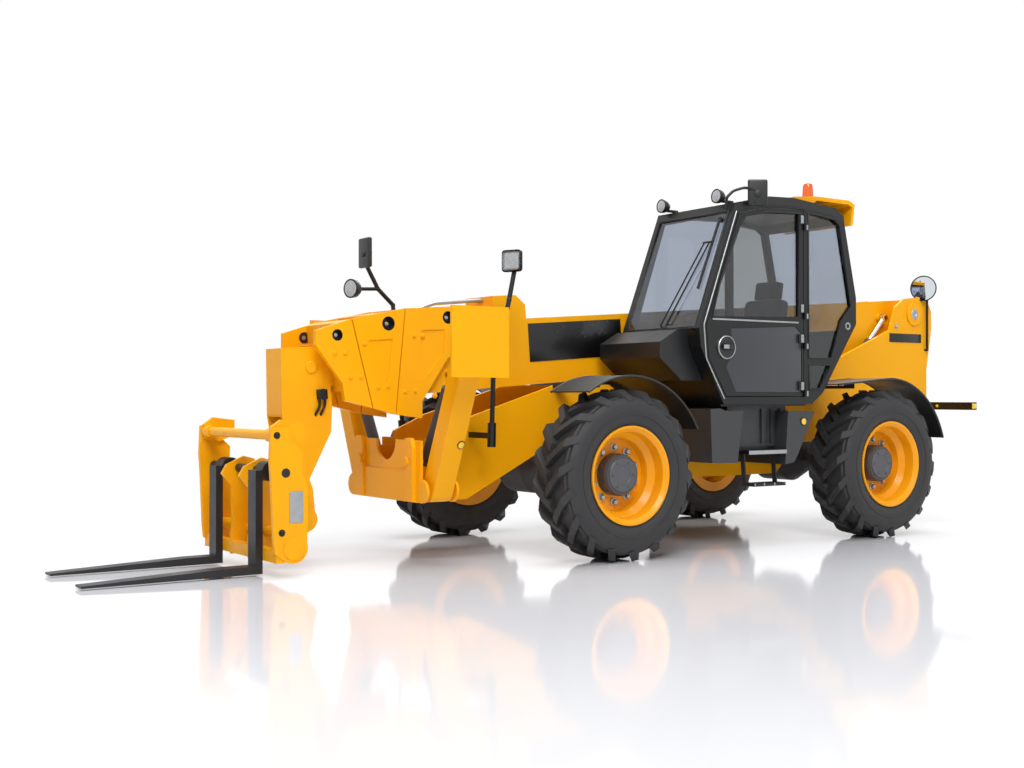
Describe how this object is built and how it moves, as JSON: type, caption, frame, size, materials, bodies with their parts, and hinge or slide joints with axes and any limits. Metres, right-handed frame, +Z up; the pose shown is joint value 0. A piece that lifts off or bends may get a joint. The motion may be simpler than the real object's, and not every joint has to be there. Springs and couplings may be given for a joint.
{
  "type": "telescopic handler",
  "caption": "Rough-terrain telescopic handler with a four-stage boom, pallet forks on a tilting carriage, side cab, steered axles and front stabiliser legs.",
  "frame": {"origin": "on the ground, under the middle of the whole length and width", "axes": "+X forward towards the fork tips, +Y to the driver's left, +Z up"},
  "size_m": [7.9496, 2.5063, 2.915],
  "materials": {
    "yellow_paint": "gloss",
    "frame_black": "satin",
    "cast_grey": "satin",
    "rim_paint": "gloss",
    "tyre_rubber": "matte",
    "black_plastic": "matte",
    "grey_plastic": "matte",
    "step_metal": "satin",
    "tinted_glass": "clear",
    "seat_fabric": "matte",
    "fork_black": "satin",
    "chrome_rod": "polished",
    "beacon_amber": "clear"
  },
  "bodies": {
    "chassis": {"chassis_frame": "yellow_paint", "front_frame": "yellow_paint", "counterweight": "cast_grey", "front_axle": "cast_grey", "rear_axle": "cast_grey", "driveline": "cast_grey", "engine_block": "cast_grey", "engine_tray": "frame_black", "side_boxes": "grey_plastic", "steps": "step_metal", "mudguards": "black_plastic", "cab_base": "frame_black", "cab_frame": "frame_black", "cab_roof": "grey_plastic", "roof_visor": "yellow_paint", "cab_glass": "tinted_glass", "scuttle": "black_plastic", "seat": "seat_fabric", "steering_column": "black_plastic", "light_bar": "frame_black", "lamp_posts": "frame_black", "work_lamps": "black_plastic", "mirrors": "black_plastic", "beacon": "beacon_amber"},
    "bonnet": {"engine_bonnet": "yellow_paint"},
    "cab_door": {"door": "frame_black", "door_glass": "tinted_glass"},
    "knuckle_fl": {"knuckle_fl": "cast_grey"},
    "wheel_fl": {"rim_fl": "rim_paint", "tyre_fl": "tyre_rubber"},
    "knuckle_fr": {"knuckle_fr": "cast_grey"},
    "wheel_fr": {"rim_fr": "rim_paint", "tyre_fr": "tyre_rubber"},
    "knuckle_rl": {"knuckle_rl": "cast_grey"},
    "wheel_rl": {"rim_rl": "rim_paint", "tyre_rl": "tyre_rubber"},
    "knuckle_rr": {"knuckle_rr": "cast_grey"},
    "wheel_rr": {"rim_rr": "rim_paint", "tyre_rr": "tyre_rubber"},
    "boom_outer": {"boom_outer": "yellow_paint"},
    "boom_mid_1": {"boom_mid_1": "yellow_paint"},
    "boom_mid_2": {"boom_mid_2": "yellow_paint"},
    "boom_inner": {"boom_inner": "yellow_paint"},
    "carriage": {"carriage": "yellow_paint", "forks": "fork_black"},
    "lift_barrel": {"lift_barrel": "frame_black"},
    "lift_rod": {"lift_rod": "chrome_rod"},
    "level_barrel": {"level_barrel": "frame_black"},
    "level_rod": {"level_rod": "chrome_rod"},
    "tilt_barrel": {"tilt_barrel": "frame_black"},
    "tilt_rod": {"tilt_rod": "chrome_rod"},
    "stab_leg_left": {"stab_leg_left": "yellow_paint"},
    "stab_foot_left": {"stab_foot_left": "yellow_paint"},
    "stab_barrel_left": {"stab_barrel_left": "frame_black"},
    "stab_rod_left": {"stab_rod_left": "chrome_rod"},
    "stab_leg_right": {"stab_leg_right": "yellow_paint"},
    "stab_foot_right": {"stab_foot_right": "yellow_paint"},
    "stab_barrel_right": {"stab_barrel_right": "frame_black"},
    "stab_rod_right": {"stab_rod_right": "chrome_rod"}
  },
  "joints": [
    {"name": "steer_fl", "type": "hinge", "parent": "chassis", "child": "knuckle_fl", "pos_m": [0.43516, 0.88, 0.603], "axis": [0, 0, 1], "range_deg": [-30, 30]},
    {"name": "spin_fl", "type": "hinge", "parent": "knuckle_fl", "child": "wheel_fl", "pos_m": [0.43516, 1.039, 0.603], "axis": [0, 1, 0], "continuous": true},
    {"name": "steer_fr", "type": "hinge", "parent": "chassis", "child": "knuckle_fr", "pos_m": [0.43516, -0.88, 0.603], "axis": [0, 0, 1], "range_deg": [-30, 30]},
    {"name": "spin_fr", "type": "hinge", "parent": "knuckle_fr", "child": "wheel_fr", "pos_m": [0.43516, -1.039, 0.603], "axis": [0, 1, 0], "continuous": true},
    {"name": "steer_rl", "type": "hinge", "parent": "chassis", "child": "knuckle_rl", "pos_m": [-2.31485, 0.88, 0.603], "axis": [0, 0, 1], "range_deg": [-30, 30]},
    {"name": "spin_rl", "type": "hinge", "parent": "knuckle_rl", "child": "wheel_rl", "pos_m": [-2.31485, 1.039, 0.603], "axis": [0, 1, 0], "continuous": true},
    {"name": "steer_rr", "type": "hinge", "parent": "chassis", "child": "knuckle_rr", "pos_m": [-2.31485, -0.88, 0.603], "axis": [0, 0, 1], "range_deg": [-30, 30]},
    {"name": "spin_rr", "type": "hinge", "parent": "knuckle_rr", "child": "wheel_rr", "pos_m": [-2.31485, -1.039, 0.603], "axis": [0, 1, 0], "continuous": true},
    {"name": "boom_lift", "type": "hinge", "parent": "chassis", "child": "boom_outer", "pos_m": [-3.70985, 0, 1.92], "axis": [0, -1, 0], "range_deg": [0, 70]},
    {"name": "extend_1", "type": "slide", "parent": "boom_outer", "child": "boom_mid_1", "axis": [0.9973, 0, -0.0732], "range_m": [0, 4.3]},
    {"name": "extend_2", "type": "slide", "parent": "boom_mid_1", "child": "boom_mid_2", "axis": [0.9973, 0, -0.0732], "range_m": [0, 4.3]},
    {"name": "extend_3", "type": "slide", "parent": "boom_mid_2", "child": "boom_inner", "axis": [0.9973, 0, -0.0732], "range_m": [0, 4.3]},
    {"name": "carriage_tilt", "type": "hinge", "parent": "boom_inner", "child": "carriage", "pos_m": [2.39885, 0, 0.31931], "axis": [0, 1, 0], "range_deg": [-15, 105]},
    {"name": "lift_swing", "type": "hinge", "parent": "chassis", "child": "lift_barrel", "pos_m": [-3.15984, 0, 0.87], "axis": [0, -1, 0], "range_deg": [0, 61.02]},
    {"name": "lift_slide", "type": "slide", "parent": "lift_barrel", "child": "lift_rod", "axis": [0.9681, 0, 0.2504], "range_m": [0, 1.30501]},
    {"name": "level_swing", "type": "hinge", "parent": "chassis", "child": "level_barrel", "pos_m": [-2.73984, 0.275, 1.19], "axis": [0, -1, 0], "range_deg": [-4.85, 0]},
    {"name": "level_slide", "type": "slide", "parent": "level_barrel", "child": "level_rod", "axis": [-0.686, 0, 0.7276], "range_m": [0, 0.36114]},
    {"name": "tilt_ram_swing", "type": "hinge", "parent": "boom_inner", "child": "tilt_barrel", "pos_m": [2.41885, 0, 1.21931], "axis": [0, -1, 0], "range_deg": [-6.07, 1.3]},
    {"name": "tilt_ram_slide", "type": "slide", "parent": "tilt_barrel", "child": "tilt_rod", "axis": [0.1783, 0, -0.984], "range_m": [-0.04905, 0.33738]},
    {"name": "stab_left", "type": "hinge", "parent": "chassis", "child": "stab_leg_left", "pos_m": [1.57015, 0.5, 0.5], "axis": [-1, 0, 0], "range_deg": [0, 90]},
    {"name": "foot_left", "type": "hinge", "parent": "stab_leg_left", "child": "stab_foot_left", "pos_m": [1.57015, 0.93, 1.5], "axis": [-1, 0, 0], "range_deg": [-20, 20]},
    {"name": "stab_ram_left_swing", "type": "hinge", "parent": "chassis", "child": "stab_barrel_left", "pos_m": [1.57015, 0.34, 0.7], "axis": [1, 0, 0], "range_deg": [-82.35, 0]},
    {"name": "stab_ram_left_slide", "type": "slide", "parent": "stab_barrel_left", "child": "stab_rod_left", "axis": [0, 0.5039, 0.8638], "range_m": [0, 0.34257]},
    {"name": "stab_right", "type": "hinge", "parent": "chassis", "child": "stab_leg_right", "pos_m": [1.57015, -0.5, 0.5], "axis": [1, 0, 0], "range_deg": [0, 90]},
    {"name": "foot_right", "type": "hinge", "parent": "stab_leg_right", "child": "stab_foot_right", "pos_m": [1.57015, -0.93, 1.5], "axis": [1, 0, 0], "range_deg": [-20, 20]},
    {"name": "stab_ram_right_swing", "type": "hinge", "parent": "chassis", "child": "stab_barrel_right", "pos_m": [1.57015, -0.34, 0.7], "axis": [-1, 0, 0], "range_deg": [-82.35, 0]},
    {"name": "stab_ram_right_slide", "type": "slide", "parent": "stab_barrel_right", "child": "stab_rod_right", "axis": [0, -0.5039, 0.8638], "range_m": [0, 0.34257]},
    {"name": "door_hinge", "type": "hinge", "parent": "chassis", "child": "cab_door", "pos_m": [-1.38584, 1.162, 1.5], "axis": [0, 0, 1], "range_deg": [0, 90]},
    {"name": "bonnet_hinge", "type": "hinge", "parent": "chassis", "child": "bonnet", "pos_m": [-0.93985, -0.385, 1.448], "axis": [-1, 0, 0], "range_deg": [0, 65]}
  ],
  "couplings": [
    {"joint": "steer_fr", "follows": "steer_fl", "ratio": 1},
    {"joint": "steer_rr", "follows": "steer_rl", "ratio": 1},
    {"joint": "extend_2", "follows": "extend_1", "ratio": 1},
    {"joint": "extend_3", "follows": "extend_1", "ratio": 1},
    {"joint": "lift_swing", "follows": "boom_lift", "ratio": 0.8645},
    {"joint": "lift_slide", "follows": "boom_lift", "m_per_rad": 1.0673},
    {"joint": "level_swing", "follows": "boom_lift", "ratio": -0.062082},
    {"joint": "level_slide", "follows": "boom_lift", "m_per_rad": 0.29478},
    {"joint": "tilt_ram_swing", "follows": "carriage_tilt", "ratio": -0.053057},
    {"joint": "tilt_ram_slide", "follows": "carriage_tilt", "m_per_rad": 0.18355},
    {"joint": "stab_ram_left_swing", "follows": "stab_left", "ratio": -0.90948},
    {"joint": "stab_ram_left_slide", "follows": "stab_left", "m_per_rad": 0.21745},
    {"joint": "stab_ram_right_swing", "follows": "stab_right", "ratio": -0.90948},
    {"joint": "stab_ram_right_slide", "follows": "stab_right", "m_per_rad": 0.21745}
  ]
}
